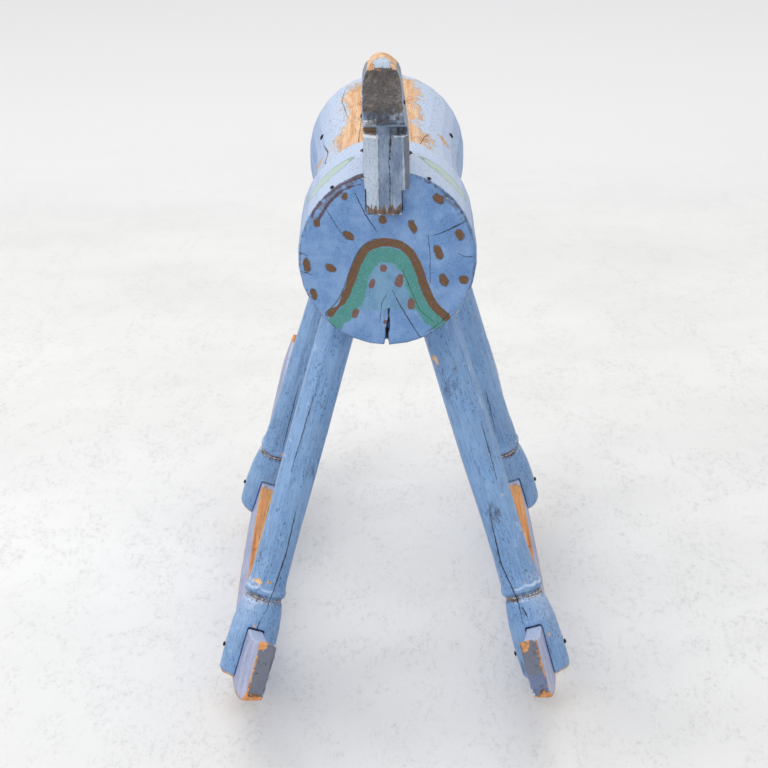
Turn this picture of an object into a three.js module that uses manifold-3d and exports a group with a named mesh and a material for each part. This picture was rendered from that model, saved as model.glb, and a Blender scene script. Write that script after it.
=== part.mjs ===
// A child's rocking horse of painted wood, made the old country way: a log for the body, a plank for the
// head and neck, four shaved legs driven into the log, and two curved rockers held in slots in the hooves.
//
// Millimetres, +Z up from the floor. The horse looks along -Y. Left and right are the rider's, so left is +X.
// The origin is on the floor under the middle of the rockers.

import * as THREE from 'three';
import { mergeVertices } from 'three/addons/utils/BufferGeometryUtils.js';
import Module from 'manifold-3d';

const wasm = await Module();
wasm.setup();

// ---------------------------------------------------------------- driving dimensions

const GAP = 0.3;              // clearance between two pieces that touch

// The body: a log with a full collar in front, a hollowed seat behind it, and a full rump.
const LOG = {
  front: -223,                // flat end under the neck
  rear: 217,
  centreZ: 452.3,
  radius: 85,
  tall: 1.02,                 // height over width of the section
  frontFace: 81,              // radius of the flat front end
  frontRound: 14,             // length of its rounded edge
  rearFace: 77,
  rearRound: 12,
  collarEnd: -92,             // where the seat begins
  seatStep: 20,               // length of the step down from the collar
  seatDeepest: 40,            // from here the seat rises again to the rump
  rumpEnd: 204,
  waist: 8.5,                 // how much thinner the log is at the seat, all round
  saddle: 6,                  // how much deeper the seat is along the top
};

// The head and neck: one plank, standing in a slot that is open to the front of the log.
const HEAD = {
  thickness: 43,
  tenonThickness: 33,
  tenonX: -2.7,               // the tenon was sawn a little off the middle
  tenonFoot: 498,             // height of the tenon's lower edge
  shoulder: 536,              // the wide part rests on the log from here up
  front: -231,                // the neck's front edge, a little proud of the log's end
  back: -134,
  chamferTop: 577,
  notchZ: 580,                // notch under the jaw, cut in both front corners
  notchSize: 10,
  crownX: -4,                 // the crown is rounded over, and leans a little to the right
  crownTop: 652.5,
  crownWest: { halfWidth: 17.5, rise: 29 },
  crownEast: { halfWidth: 18.5, rise: 25 },
  crownPoint: 1.2,            // 1 is a round crown, and more than 1 a pointed one
  taperFrom: 566,             // from here up the plank is thinned on its left side
};
// Where each front corner of the neck is taken off: inner edge in X, and depth at the outer face.
const CHAMFERS = { left: { side: 1, edge: 16, depth: 8 }, right: { side: -1, edge: -7, depth: 10 } };

// The rockers: boards cut to an arc, each leaning inwards by its own angle.
const ROCKER = {
  radius: 925,                // of the running edge
  lowestY: -15,               // under the centre of mass, so the horse stands level
  height: 53.6,
  thickness: 16,
  toeRound: 14,               // worn lower corner at each tip
  facet: 0.024,               // angle of one flat of the running edge, in radians
};
const ROCKERS = {
  left: { side: 1, outerX: 168.1, lean: 15.1, toeIn: 0.0068, front: -435, rear: 436 },
  right: { side: -1, outerX: 169.4, lean: 17.6, toeIn: -0.0053, front: -445, rear: 445 },
};

// The legs: the axis of each runs from the middle of its hoof to the log.
const LEG = {
  hoofZ: 60,                  // height at which footX and footY are given
  topZ: 372,                  // height at which topX and topY are given
  soleZ: 32,                  // height of the axis at the underside of the hoof
  tenonTopZ: 424,
  tenonRadius: 13,
  sides: 28,
};
const LEGS = {
  front_left: { rocker: 'left', topX: 48.3, footX: 145.3, topY: -153, footY: -237 },
  front_right: { rocker: 'right', topX: -47.6, footX: -140.6, topY: -153, footY: -237 },
  rear_left: { rocker: 'left', topX: 57, footX: 141.8, topY: 107.7, footY: 192 },
  rear_right: { rocker: 'right', topX: -48.6, footX: -143.5, topY: 107.7, footY: 192 },
};

// Turned outline of a leg from the sole up: distance along the axis, radius.
const LEG_OUTLINE = [
  [0, 21.5], [4, 24], [28, 24.8], [55, 23.6], [70, 21.6], [78, 20],          // hoof
  [80.5, 18], [84.5, 18.2], [86.5, 20.6], [94, 21],                          // fetlock groove and ridge
  [106, 19.5], [124, 18.2], [156, 17.8], [190, 18.3],                        // cannon
  [225, 19.6], [260, 19.9], [295, 19.3], [330, 18.7], [400, 18],             // shank
];

const RIVET = { shank: 1.8, head: 2.9, dome: 1.5, reach: 25.2, aboveSole: 26 };
const TACK = { shank: 1, head: 2.6, dome: 1.4, length: 12 };
const NAIL = { shank: 1.8, head: 3.6, dome: 1.2, length: 46 };
const TAIL_PEG = { radius: 9, proud: 7, depth: 34, z: 500 };

const PAINT = {
  body: { color: 0x6f9ed6, roughness: 0.6, metalness: 0 },
  leg: { color: 0x7fa8dc, roughness: 0.6, metalness: 0 },
  rocker: { color: 0x9aa2cf, roughness: 0.65, metalness: 0 },
  neck: { color: 0x8098b4, roughness: 0.65, metalness: 0 },
  wood: { color: 0xc08a55, roughness: 0.75, metalness: 0 },
  iron: { color: 0x4a4440, roughness: 0.6, metalness: 0.8 },
};

// ---------------------------------------------------------------- small helpers

const ALONG_Y = new THREE.Vector3(0, 1, 0);
const rad = THREE.MathUtils.degToRad;
const smooth = (x, from, to) => THREE.MathUtils.smoothstep(x, from, to);

// A matrix that carries a shape drawn along +Y to a place and a direction.
function aim(position, direction) {
  const turn = new THREE.Quaternion().setFromUnitVectors(ALONG_Y, direction.clone().normalize());
  return new THREE.Matrix4().compose(position, turn, new THREE.Vector3(1, 1, 1));
}

// A closed geometry as a solid that can be joined and cut.
function solid(geometry, matrix = new THREE.Matrix4()) {
  const bare = geometry.clone();
  bare.deleteAttribute('normal');
  bare.deleteAttribute('uv');
  bare.applyMatrix4(matrix);
  const merged = mergeVertices(bare, 1e-4);
  return new wasm.Manifold(new wasm.Mesh({
    numProp: 3,
    vertProperties: new Float32Array(merged.attributes.position.array),
    triVerts: new Uint32Array(merged.index.array),
  }));
}

function toGeometry(body) {
  const mesh = body.getMesh();
  const geometry = new THREE.BufferGeometry();
  geometry.setAttribute('position', new THREE.BufferAttribute(new Float32Array(mesh.vertProperties), 3));
  geometry.setIndex(new THREE.BufferAttribute(new Uint32Array(mesh.triVerts), 1));
  geometry.computeVertexNormals();
  return geometry;
}

// Cuts world-space tools out of a solid that is drawn in its own frame.
function cutWith(body, placement, tools) {
  const toLocal = placement.clone().invert();
  let result = body;
  for (const tool of tools) {
    result = result.subtract(solid(tool.geometry, toLocal.clone().multiply(tool.matrix)));
  }
  return result;
}

function makeNode(name, geometry, placement, paint) {
  const node = new THREE.Mesh(geometry, new THREE.MeshStandardMaterial(paint));
  node.name = name;
  placement.decompose(node.position, node.quaternion, node.scale);
  return node;
}

// An outline in the YZ plane, given thickness along X and centred on x = 0.
function slab(points, thickness) {
  const shape = new THREE.Shape(points.map(([y, z]) => new THREE.Vector2(y, z)));
  const geometry = new THREE.ExtrudeGeometry(shape, { depth: thickness, bevelEnabled: false });
  geometry.translate(0, 0, -thickness / 2);
  const drawnToWorld = new THREE.Matrix4().makeBasis(
    new THREE.Vector3(0, 1, 0), new THREE.Vector3(0, 0, 1), new THREE.Vector3(1, 0, 0));
  return geometry.applyMatrix4(drawnToWorld);
}

function turned(outline, sides) {
  return new THREE.LatheGeometry(outline.map(([along, radius]) => new THREE.Vector2(radius, along)), sides);
}

function rod(radius, length, sides = 16) {
  return turned([[0, 0], [0, radius], [length, radius], [length, 0]], sides);
}

// ---------------------------------------------------------------- legs: where they stand

function legPlacement(leg) {
  const foot = new THREE.Vector3(leg.footX, leg.footY, LEG.hoofZ);
  const top = new THREE.Vector3(leg.topX, leg.topY, LEG.topZ);
  const direction = top.clone().sub(foot);
  const sole = foot.clone().addScaledVector(direction, (LEG.soleZ - LEG.hoofZ) / direction.z);
  return aim(sole, direction);
}

function legAxisLength(leg, z) {
  const foot = new THREE.Vector3(leg.footX, leg.footY, LEG.hoofZ);
  const top = new THREE.Vector3(leg.topX, leg.topY, LEG.topZ);
  return foot.distanceTo(top) * (z - LEG.soleZ) / (LEG.topZ - LEG.hoofZ);
}

function legTenon(leg, clearance) {
  const end = legAxisLength(leg, LEG.tenonTopZ) + clearance;
  const start = LEG_OUTLINE.at(-1)[0] - 80;
  const radius = LEG.tenonRadius + clearance;
  return turned([[start, 0], [start, radius], [end - 4, radius], [end, radius - 4], [end, 0]], LEG.sides);
}

// ---------------------------------------------------------------- body

function logRadius(y) {
  const intoFront = (y - LOG.front) / LOG.frontRound;
  const intoRear = (LOG.rear - y) / LOG.rearRound;
  const round = (t) => Math.sqrt(1 - (1 - Math.min(t, 1)) ** 2);
  const front = LOG.frontFace + (LOG.radius - LOG.frontFace) * round(intoFront);
  const rear = LOG.rearFace + (LOG.radius - LOG.rearFace) * round(intoRear);
  return Math.min(front, rear);
}

function seatDepth(y) {
  const begins = smooth(y, LOG.collarEnd, LOG.collarEnd + LOG.seatStep);
  const ends = smooth(y, LOG.seatDeepest, LOG.rumpEnd);
  return begins * (1 - ends);
}

function logStations() {
  const stations = [];
  for (const t of [0, 0.12, 0.4, 1]) {
    stations.push(LOG.front + LOG.frontRound * t);
  }
  stations.push((LOG.front + LOG.collarEnd) / 2);
  for (let y = LOG.collarEnd; y < LOG.collarEnd + LOG.seatStep; y += LOG.seatStep / 4) {
    stations.push(y);
  }
  const seatStart = LOG.collarEnd + LOG.seatStep;
  const seatRings = 11;
  for (let i = 0; i <= seatRings; i += 1) {
    stations.push(seatStart + (LOG.rear - LOG.rearRound - seatStart) * i / seatRings);
  }
  for (const t of [0.6, 0.88, 1]) {
    stations.push(LOG.rear - LOG.rearRound * (1 - t));
  }
  return stations;
}

// The cylinder's rings are moved to the stations, and each is given its radius.
function logGeometry(grow = 0) {
  const stations = logStations();
  const rings = stations.length - 1;
  const geometry = new THREE.CylinderGeometry(1, 1, 1, 56, rings);
  const place = geometry.attributes.position;
  for (let i = 0; i < place.count; i += 1) {
    const y = stations[Math.round((place.getY(i) + 0.5) * rings)];
    const upwards = Math.max(0, place.getZ(i));
    const depth = seatDepth(y) * (LOG.waist + LOG.saddle * upwards ** 2);
    const radius = logRadius(y) - depth + grow;
    place.setXYZ(i, place.getX(i) * radius, y, place.getZ(i) * radius * LOG.tall);
  }
  return geometry.translate(0, 0, LOG.centreZ);
}

// ---------------------------------------------------------------- head

// Side view of the plank from the shoulder up, drawn from the front of the neck over the nose to the mane.
function headOutline() {
  const path = new THREE.Path();
  path.moveTo(HEAD.front, HEAD.shoulder - 14);
  path.lineTo(HEAD.front - 5, 566);
  path.quadraticCurveTo(-238, 586, -250, 588);            // throat
  path.quadraticCurveTo(-264, 589, -277, 594);            // jaw
  path.quadraticCurveTo(-291, 597, -293, 605);            // lips
  path.quadraticCurveTo(-293, 615, -281, 619);            // nose
  path.quadraticCurveTo(-262, 627, -254, 639);            // face
  path.quadraticCurveTo(-248, 652, -236, HEAD.crownTop);  // crown
  path.quadraticCurveTo(-226, 652, -219, 644);            // stumps of the ears
  path.quadraticCurveTo(-188, 632, -166, 594);            // mane
  path.quadraticCurveTo(-146, 560, HEAD.back, HEAD.shoulder - 14);
  return path.getPoints(6).map((p) => [p.x, p.y]);
}

function tenonOutline(clearance) {
  const front = HEAD.front - (clearance ? 20 : 0);
  const top = clearance ? HEAD.shoulder + 60 : HEAD.shoulder + 4;
  const foot = HEAD.tenonFoot - clearance;
  const back = HEAD.back + clearance;
  return [[front, foot], [back, foot], [back, top], [front, top]];
}

// Prism that takes off one front corner of the neck.
function chamferCutter({ side, edge, depth }) {
  const outer = side * (HEAD.thickness / 2 + 1);
  const slope = depth / (HEAD.thickness / 2 - Math.abs(edge));
  const lean = -5 / (562 - HEAD.shoulder + 14);
  const front = HEAD.front - 12;
  const shape = new THREE.Shape([
    new THREE.Vector2(edge, HEAD.front),
    new THREE.Vector2(outer, HEAD.front + Math.abs(outer - edge) * slope),
    new THREE.Vector2(outer, front),
    new THREE.Vector2(edge, front),
  ]);
  const foot = HEAD.tenonFoot - 5;
  const geometry = new THREE.ExtrudeGeometry(shape, { depth: HEAD.chamferTop - foot, bevelEnabled: false });
  geometry.translate(0, 0, foot);
  // The neck's front edge leans forwards above the shoulder, and the chamfer follows it.
  const place = geometry.attributes.position;
  for (let i = 0; i < place.count; i += 1) {
    const above = Math.max(0, place.getZ(i) - HEAD.shoulder + 14);
    place.setY(i, place.getY(i) + above * lean);
  }
  return geometry;
}

function notchCutter({ side, edge }) {
  const width = HEAD.thickness / 2 + 4 - Math.max(8, Math.abs(edge) - 6);
  const geometry = new THREE.BoxGeometry(width, HEAD.notchSize, HEAD.notchSize);
  geometry.rotateX(Math.PI / 4);
  return geometry.translate(side * (HEAD.thickness / 2 + 4 - width / 2), -240, HEAD.notchZ);
}

// The head and neck as seen from the front: everything inside this outline is kept.
function frontOutline() {
  const { crownX, crownTop, crownWest, crownEast, crownPoint, taperFrom, thickness } = HEAD;
  const half = thickness / 2;
  const steps = 7;
  const points = [[-half, 480], [half, 480], [half, taperFrom]];
  for (let i = 0; i <= steps; i += 1) {
    const turn = (i / steps) * Math.PI / 2;
    points.push([crownX + crownEast.halfWidth * Math.cos(turn) ** crownPoint,
      crownTop - crownEast.rise * (1 - Math.sin(turn) ** crownPoint)]);
  }
  for (let i = 1; i <= steps; i += 1) {
    const turn = (i / steps) * Math.PI / 2;
    points.push([crownX - crownWest.halfWidth * Math.sin(turn) ** crownPoint,
      crownTop - crownWest.rise * (1 - Math.max(0, Math.cos(turn)) ** crownPoint)]);
  }
  return points;
}

function frontPrism() {
  const shape = new THREE.Shape(frontOutline().map(([x, z]) => new THREE.Vector2(x, -z)));
  const geometry = new THREE.ExtrudeGeometry(shape, { depth: 400, bevelEnabled: false });
  geometry.translate(0, 0, -400);
  return geometry.rotateX(-Math.PI / 2);
}

// ---------------------------------------------------------------- rockers

function rockerPlacement(rocker) {
  const turn = new THREE.Euler(0, -rocker.side * rad(rocker.lean), rocker.side * rocker.toeIn, 'ZYX');
  return new THREE.Matrix4().compose(
    new THREE.Vector3(rocker.side * rocker.outerX, 0, 0),
    new THREE.Quaternion().setFromEuler(turn),
    new THREE.Vector3(1, 1, 1));
}

// A point of the board in its own leaning plane: angle along the arc, height above the running edge.
function boardPoint(rocker, angle, height) {
  const radius = ROCKER.radius - height;
  const z = ROCKER.radius - radius * Math.cos(angle);
  return [ROCKER.lowestY + radius * Math.sin(angle), z / Math.cos(rad(rocker.lean))];
}

// Outline of the board. Below the running edge it is left long, and trimmed level afterwards.
function boardOutline(rocker, below, above) {
  const first = Math.asin((rocker.front - ROCKER.lowestY) / ROCKER.radius);
  const last = Math.asin((rocker.rear - ROCKER.lowestY) / ROCKER.radius);
  const steps = 36;
  const cornerSteps = 5;
  const corner = ROCKER.toeRound / ROCKER.radius;
  const outline = [];
  for (let i = 0; i <= cornerSteps; i += 1) {
    const turn = (i / cornerSteps) * Math.PI / 2;
    const height = ROCKER.toeRound * (1 - Math.sin(turn)) - below;
    outline.push(boardPoint(rocker, first + corner * (1 - Math.cos(turn)), height));
  }
  for (let i = 1; i < steps; i += 1) {
    outline.push(boardPoint(rocker, first + corner + (last - first - 2 * corner) * i / steps, -below));
  }
  for (let i = cornerSteps; i >= 0; i -= 1) {
    const turn = (i / cornerSteps) * Math.PI / 2;
    const height = ROCKER.toeRound * (1 - Math.sin(turn)) - below;
    outline.push(boardPoint(rocker, last - corner * (1 - Math.cos(turn)), height));
  }
  for (let i = 0; i <= steps; i += 1) {
    outline.push(boardPoint(rocker, last + (first - last) * i / steps, ROCKER.height + above));
  }
  return outline;
}

// The board lies inwards of its own origin, which is on its outer face.
function boardGeometry(rocker, { below, above, thicker }) {
  const board = slab(boardOutline(rocker, below, above), ROCKER.thickness + 2 * thicker);
  return board.translate(-rocker.side * ROCKER.thickness / 2, 0, 0);
}

// Everything above the running surface, which is level from side to side and made of equal flats.
function runningTrim() {
  const points = [];
  const radius = ROCKER.radius / Math.cos(ROCKER.facet / 2);
  const flats = 23;
  for (let i = -flats; i <= flats + 1; i += 1) {
    const angle = (i - 0.5) * ROCKER.facet;
    points.push([ROCKER.lowestY + radius * Math.sin(angle), ROCKER.radius - radius * Math.cos(angle)]);
  }
  points.push([points.at(-1)[0], 400], [points[0][0], 400]);
  return slab(points, 600);
}

// ---------------------------------------------------------------- nails, tacks and pegs

// A domed head that stands just clear of the surface at y = 0, a straight shank and a blunt point.
function nailGeometry({ shank, head, dome, length }, sides = 12) {
  return turned([
    [-GAP - dome, 0], [-GAP - dome * 0.8, head * 0.55], [-GAP - dome * 0.3, head * 0.9],
    [-GAP, head], [-GAP, shank], [length - 3, shank], [length, 0],
  ], sides);
}

// The hole for a nail, with a pocket for the head where it is driven at a slant.
function nailHole({ shank, head, length }, sides = 12) {
  return turned([
    [-8, 0], [-8, head + GAP], [0, head + GAP], [0, shank + GAP], [length - 2, shank + GAP], [length + 1, 0],
  ], sides);
}

// A shank with a domed head at both ends, as a nail is when it has been clenched over a washer.
function rivetGeometry() {
  const { shank, head, dome, reach } = RIVET;
  const half = [[reach, shank], [reach, head], [reach + dome * 0.6, head * 0.75], [reach + dome, 0]];
  const mirrored = half.map(([along, radius]) => [-along, radius]).reverse();
  return turned([...mirrored, ...half], 12);
}

function rivetHole() {
  const reach = RIVET.reach + 12;
  return rod(RIVET.shank + GAP, 2 * reach, 12).translate(0, -reach, 0);
}

function rivetPlacement(leg) {
  const rocker = ROCKERS[leg.rocker];
  const sole = legPlacement(leg);
  const centre = new THREE.Vector3(0, RIVET.aboveSole, 0).applyMatrix4(sole);
  const across = new THREE.Vector3(rocker.side, 0, 0).transformDirection(rockerPlacement(rocker));
  return aim(centre, across);
}

// Places on the skin of the log, given by the height above its centre and driven towards its middle.
function onLog(side, y, angle, tiltY = 0) {
  const radius = logRadius(y) - seatDepth(y) * (LOG.waist + LOG.saddle * Math.max(0, Math.sin(angle)) ** 2);
  const out = new THREE.Vector3(side * Math.cos(angle), tiltY, LOG.tall * Math.sin(angle));
  const place = new THREE.Vector3(side * Math.cos(angle) * radius, y, radius * LOG.tall * Math.sin(angle));
  return aim(place.add(new THREE.Vector3(0, 0, LOG.centreZ)), out.negate());
}

// ---------------------------------------------------------------- where each fastening goes

function bridleTackPlace(side) {
  const half = HEAD.thickness / 2;
  if (side < 0) {
    return aim(new THREE.Vector3(-half, -262, 600), new THREE.Vector3(1, 0, 0));
  }
  const thinned = half - HEAD.crownX - HEAD.crownEast.halfWidth;
  const rise = HEAD.crownTop - HEAD.crownEast.rise - HEAD.taperFrom;
  const z = 612;
  const x = half - thinned * (z - HEAD.taperFrom) / rise;
  return aim(new THREE.Vector3(x, -262, z), new THREE.Vector3(-rise, 0, -thinned));
}

const nails = [];
for (const [name, side] of [['left', 1], ['right', -1]]) {
  // Old girth nails in the flanks, and the pair of tacks on the rim of the front end.
  nails.push({ name: `girth_nail_${name}`, into: 'log_body', spec: { ...NAIL, length: 30 },
    matrix: onLog(side, 108, rad(29)) });
  nails.push({ name: `collar_tack_${name}`, into: 'log_body', spec: TACK,
    matrix: onLog(side, LOG.front + 8, rad(side > 0 ? 62 : 53)) });
  // Toe nails that fix the foot of the neck to the collar.
  nails.push({ name: `neck_nail_${name}`, into: 'head_board', also: 'log_body', spec: NAIL,
    matrix: aim(new THREE.Vector3(side * (HEAD.thickness / 2 + 0.2), side > 0 ? -195 : -184, HEAD.shoulder + 13),
      new THREE.Vector3(-side * 0.55, 0.1, -1)) });
  // Bridle tacks beside the mouth.
  nails.push({ name: `bridle_tack_${name}`, into: 'head_board', spec: TACK,
    matrix: bridleTackPlace(side) });
}

const tailMatrix = aim(new THREE.Vector3(0, LOG.rear, TAIL_PEG.z), new THREE.Vector3(0, -1, -0.18));

function tailPeg(clearance) {
  const radius = TAIL_PEG.radius + clearance;
  const proud = clearance ? 30 : TAIL_PEG.proud;
  return turned([
    [-proud, 0], [-proud, radius - 2.5], [-proud + 3, radius], [TAIL_PEG.depth + clearance, radius],
    [TAIL_PEG.depth + clearance, 0],
  ], 20);
}

// ---------------------------------------------------------------- assembly

const horse = new THREE.Group();
horse.name = 'rocking_horse';
const atOrigin = new THREE.Matrix4();
const tenonPlace = new THREE.Matrix4().makeTranslation(HEAD.tenonX, 0, 0);

const holesIn = (piece) => nails
  .filter((nail) => nail.into === piece || nail.also === piece)
  .map((nail) => ({ geometry: nailHole(nail.spec), matrix: nail.matrix }));

// Log body, cut for the neck, the four leg tenons, the tail peg and the nails.
const logCuts = [
  { geometry: slab(tenonOutline(GAP), HEAD.tenonThickness + 2 * GAP), matrix: tenonPlace },
  { geometry: tailPeg(GAP), matrix: tailMatrix },
  ...Object.values(LEGS).map((leg) => ({ geometry: legTenon(leg, GAP), matrix: legPlacement(leg) })),
  ...holesIn('log_body'),
];
const logBody = cutWith(solid(logGeometry()), atOrigin, logCuts);
horse.add(makeNode('log_body', toGeometry(logBody), atOrigin, PAINT.body));

// Head and neck: the wide part sits on the curve of the log, and the tenon goes down into the slot.
let head = solid(slab(headOutline(), HEAD.thickness)).subtract(solid(logGeometry(GAP)));
head = head.intersect(solid(frontPrism()));
head = head.add(solid(slab(tenonOutline(0), HEAD.tenonThickness), tenonPlace));
const headCuts = [...holesIn('head_board')];
for (const chamfer of Object.values(CHAMFERS)) {
  headCuts.push({ geometry: chamferCutter(chamfer), matrix: atOrigin });
  headCuts.push({ geometry: notchCutter(chamfer), matrix: atOrigin });
}
head = cutWith(head, atOrigin, headCuts);
horse.add(makeNode('head_board', toGeometry(head), atOrigin, PAINT.neck));

// Rockers, trimmed level underneath and drilled for the rivets.
for (const [name, rocker] of Object.entries(ROCKERS)) {
  const placement = rockerPlacement(rocker);
  const toLocal = placement.clone().invert();
  const board = solid(boardGeometry(rocker, { below: 2, above: 0, thicker: 0 }))
    .intersect(solid(runningTrim(), toLocal));
  const drills = Object.values(LEGS)
    .filter((leg) => leg.rocker === name)
    .map((leg) => ({ geometry: rivetHole(), matrix: rivetPlacement(leg) }));
  horse.add(makeNode(`rocker_${name}`, toGeometry(cutWith(board, placement, drills)), placement, PAINT.rocker));
}

// Legs: turned outline, shoulder coped to the log, tenon, and a slot in the hoof for the rocker.
for (const [name, leg] of Object.entries(LEGS)) {
  const placement = legPlacement(leg);
  const toLocal = placement.clone().invert();
  const rocker = ROCKERS[leg.rocker];
  const outline = [[0, 0], ...LEG_OUTLINE, [LEG_OUTLINE.at(-1)[0], 0]];
  const shank = solid(turned(outline, LEG.sides)).subtract(solid(logGeometry(GAP), toLocal));
  const slot = boardGeometry(rocker, { below: 30, above: 1.5, thicker: GAP });
  const body = cutWith(shank.add(solid(legTenon(leg, 0))), placement, [
    { geometry: slot, matrix: rockerPlacement(rocker) },
    { geometry: rivetHole(), matrix: rivetPlacement(leg) },
  ]);
  horse.add(makeNode(`leg_${name}`, toGeometry(body), placement, PAINT.leg));
  horse.add(makeNode(`hoof_rivet_${name}`, rivetGeometry(), rivetPlacement(leg), PAINT.iron));
}

for (const nail of nails) {
  horse.add(makeNode(nail.name, nailGeometry(nail.spec), nail.matrix, PAINT.iron));
}

horse.add(makeNode('tail_peg', tailPeg(0), tailMatrix, PAINT.wood));

export default horse;
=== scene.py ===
# An old painted rocking horse: carved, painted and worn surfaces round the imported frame.
#
# Lengths on the horse are millimetres in the frame of the CAD model, and become metres when a mesh is made.
# The horse looks along -Y, and left and right are the rider's, so left is +X.

import math

import bpy
import numpy as np
from mathutils import Matrix, Vector


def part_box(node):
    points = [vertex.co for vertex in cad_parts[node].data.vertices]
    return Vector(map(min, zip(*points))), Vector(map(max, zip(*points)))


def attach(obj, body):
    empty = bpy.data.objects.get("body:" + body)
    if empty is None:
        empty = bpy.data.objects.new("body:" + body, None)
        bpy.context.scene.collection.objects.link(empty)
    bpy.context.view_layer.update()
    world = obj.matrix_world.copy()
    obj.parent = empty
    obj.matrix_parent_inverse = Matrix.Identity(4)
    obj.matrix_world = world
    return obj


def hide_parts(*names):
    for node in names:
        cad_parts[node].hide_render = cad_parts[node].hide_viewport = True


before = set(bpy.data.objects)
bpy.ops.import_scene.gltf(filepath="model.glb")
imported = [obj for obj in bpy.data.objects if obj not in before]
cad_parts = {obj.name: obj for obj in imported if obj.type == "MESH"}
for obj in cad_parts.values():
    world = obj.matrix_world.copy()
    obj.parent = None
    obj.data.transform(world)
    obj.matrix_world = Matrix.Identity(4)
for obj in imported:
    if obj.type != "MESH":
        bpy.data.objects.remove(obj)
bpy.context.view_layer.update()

MM = 0.001

# ---- the frame's own dimensions, in mm

LOG_FRONT, LOG_REAR, LOG_CENTRE_Z, LOG_RADIUS, LOG_TALL = -223.0, 217.0, 452.3, 85.0, 1.02
COLLAR_END = -92.0
ROCKER_RADIUS, ROCKER_LOWEST_Y, ROCKER_HEIGHT = 925.0, -15.0, 53.6
ROCKERS = {
    "left": dict(side=1, outer_x=168.1, lean=15.1, toe_in=0.0068, front=-435.0, rear=436.0),
    "right": dict(side=-1, outer_x=169.4, lean=17.6, toe_in=-0.0053, front=-445.0, rear=445.0),
}
HOOF_Z, SOLE_Z, LEG_TOP_Z = 60.0, 32.0, 372.0
LEGS = {
    "front_left": dict(top_x=48.3, foot_x=145.3, top_y=-153.0, foot_y=-237.0),
    "front_right": dict(top_x=-47.6, foot_x=-140.6, top_y=-153.0, foot_y=-237.0),
    "rear_left": dict(top_x=57.0, foot_x=141.8, top_y=107.7, foot_y=192.0),
    "rear_right": dict(top_x=-48.6, foot_x=-143.5, top_y=107.7, foot_y=192.0),
}
# Splits along the legs, as mm from the front middle line and mm above the sole, with half their width.
LEG_SPLITS = {
    "front_left": [([(-9, 56), (-7, 80), (-12, 120), (-8, 170)], 0.5), ([(-3, 62), (-5, 74)], 0.5),
                   ([(8, 200), (10, 260)], 0.25)],
    "front_right": [([(6, 70), (10, 130), (8, 180)], 0.4), ([(2, 48), (3, 62)], 0.4),
                    ([(-6, 210), (-4, 290)], 0.25)],
    "rear_left": [([(0, 120), (3, 180)], 0.3)],
    "rear_right": [([(2, 100), (-2, 190)], 0.3)],
}
# Places worn or chipped to the wood: mm from the front middle line, mm above the sole,
# half width and half height.
LEG_CHIPS = {
    "front_left": [(-14, 330, 2.5, 5), (4, 96, 2, 1.5), (12, 40, 1.5, 4)],
    "front_right": [(-8, 98, 4, 3), (2, 100, 2, 1.5), (-1, 55, 2.5, 1.2)],
    "rear_left": [(-4, 288, 4, 5), (1, 302, 2.5, 2.5)],
    "rear_right": [(5, 92, 3, 2)],
}

# ---- colours (sRGB, 0 to 255)


def srgb(red, green, blue):
    """A screen colour as the linear colour that a shader takes."""
    values = []
    for part in (red, green, blue):
        c = part / 255
        values.append(c / 12.92 if c <= 0.04045 else ((c + 0.055) / 1.055) ** 2.4)
    return (*values, 1.0)


# Each of these is a colour with its paler and its deeper shade.
BODY_BLUES = (srgb(104, 145, 198), srgb(128, 162, 208), srgb(78, 116, 172))
LEG_BLUES = (srgb(118, 158, 205), srgb(152, 180, 214), srgb(66, 96, 142))
ROCKER_BLUES = (srgb(142, 151, 190), srgb(170, 176, 208), srgb(76, 92, 146))
NECK_BLUE, NECK_BLUE_PALE, NECK_BLUE_DEEP = srgb(108, 128, 158), srgb(150, 168, 192), srgb(70, 84, 108)
# Pale paint for upward faces: partly sun bleaching, partly painted top light.
SUN_FADED_AND_LIT = srgb(198, 212, 236)
# The first pale is worn paint and also a painted highlight on edges and facets; the white is a painted
# highlight on the lips' edges.
RUBBED_AND_LIT_PALE, LIP_HIGHLIGHT = srgb(196, 208, 224), srgb(228, 232, 238)
SLATE, SLATE_BLUE, DEEP_BLUE = srgb(98, 102, 114), srgb(104, 116, 148), srgb(70, 98, 168)
BARE_TONES = (srgb(214, 160, 112), srgb(230, 196, 160), srgb(150, 100, 62))
RAW_TONES = (srgb(204, 134, 78), srgb(224, 168, 112), srgb(132, 80, 46))
OLD_WOOD = srgb(104, 82, 66)
PAINT_BROWN, PAINT_BROWN_PALE = srgb(98, 68, 42), srgb(128, 96, 62)
PAINT_OLIVE, FLECK_DARK, STAIN_BROWN = srgb(62, 62, 44), srgb(52, 58, 70), srgb(96, 80, 60)
PAINT_RED, PAINT_RED_PALE = srgb(112, 66, 46), srgb(140, 92, 70)
PAINT_GREEN, PAINT_GREEN_PALE = srgb(62, 138, 128), srgb(98, 152, 160)
# Leaf green paled by painted glare, and the leaves' own darker outline.
LEAF_GLARE_PALE, LEAF_OUTLINE = srgb(178, 200, 190), srgb(128, 150, 132)
PLUM = srgb(78, 44, 62)
# Dark dirt, also the colour of painted shade in hollows and creases.
GRIME_AND_SHADE, CRACK_BLACK = srgb(54, 52, 56), srgb(24, 19, 17)
IRON, IRON_RUST = srgb(50, 45, 44), srgb(98, 62, 44)

# ---- noise and distances on point arrays


def hashed(ix, iy, iz, seed):
    """A repeatable number from 0 to 1 for each cell of a lattice."""
    h = ix.astype(np.int64) * 374761393 + iy.astype(np.int64) * 668265263 + iz.astype(np.int64) * 1440662683
    h = (h + seed * 974634777) & 0xFFFFFFFF
    h = ((h ^ (h >> 13)) * 1274126177) & 0xFFFFFFFF
    h = ((h ^ (h >> 15)) * 2246822519) & 0xFFFFFFFF
    return ((h ^ (h >> 16)) & 0xFFFFFF) / 0xFFFFFF


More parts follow.
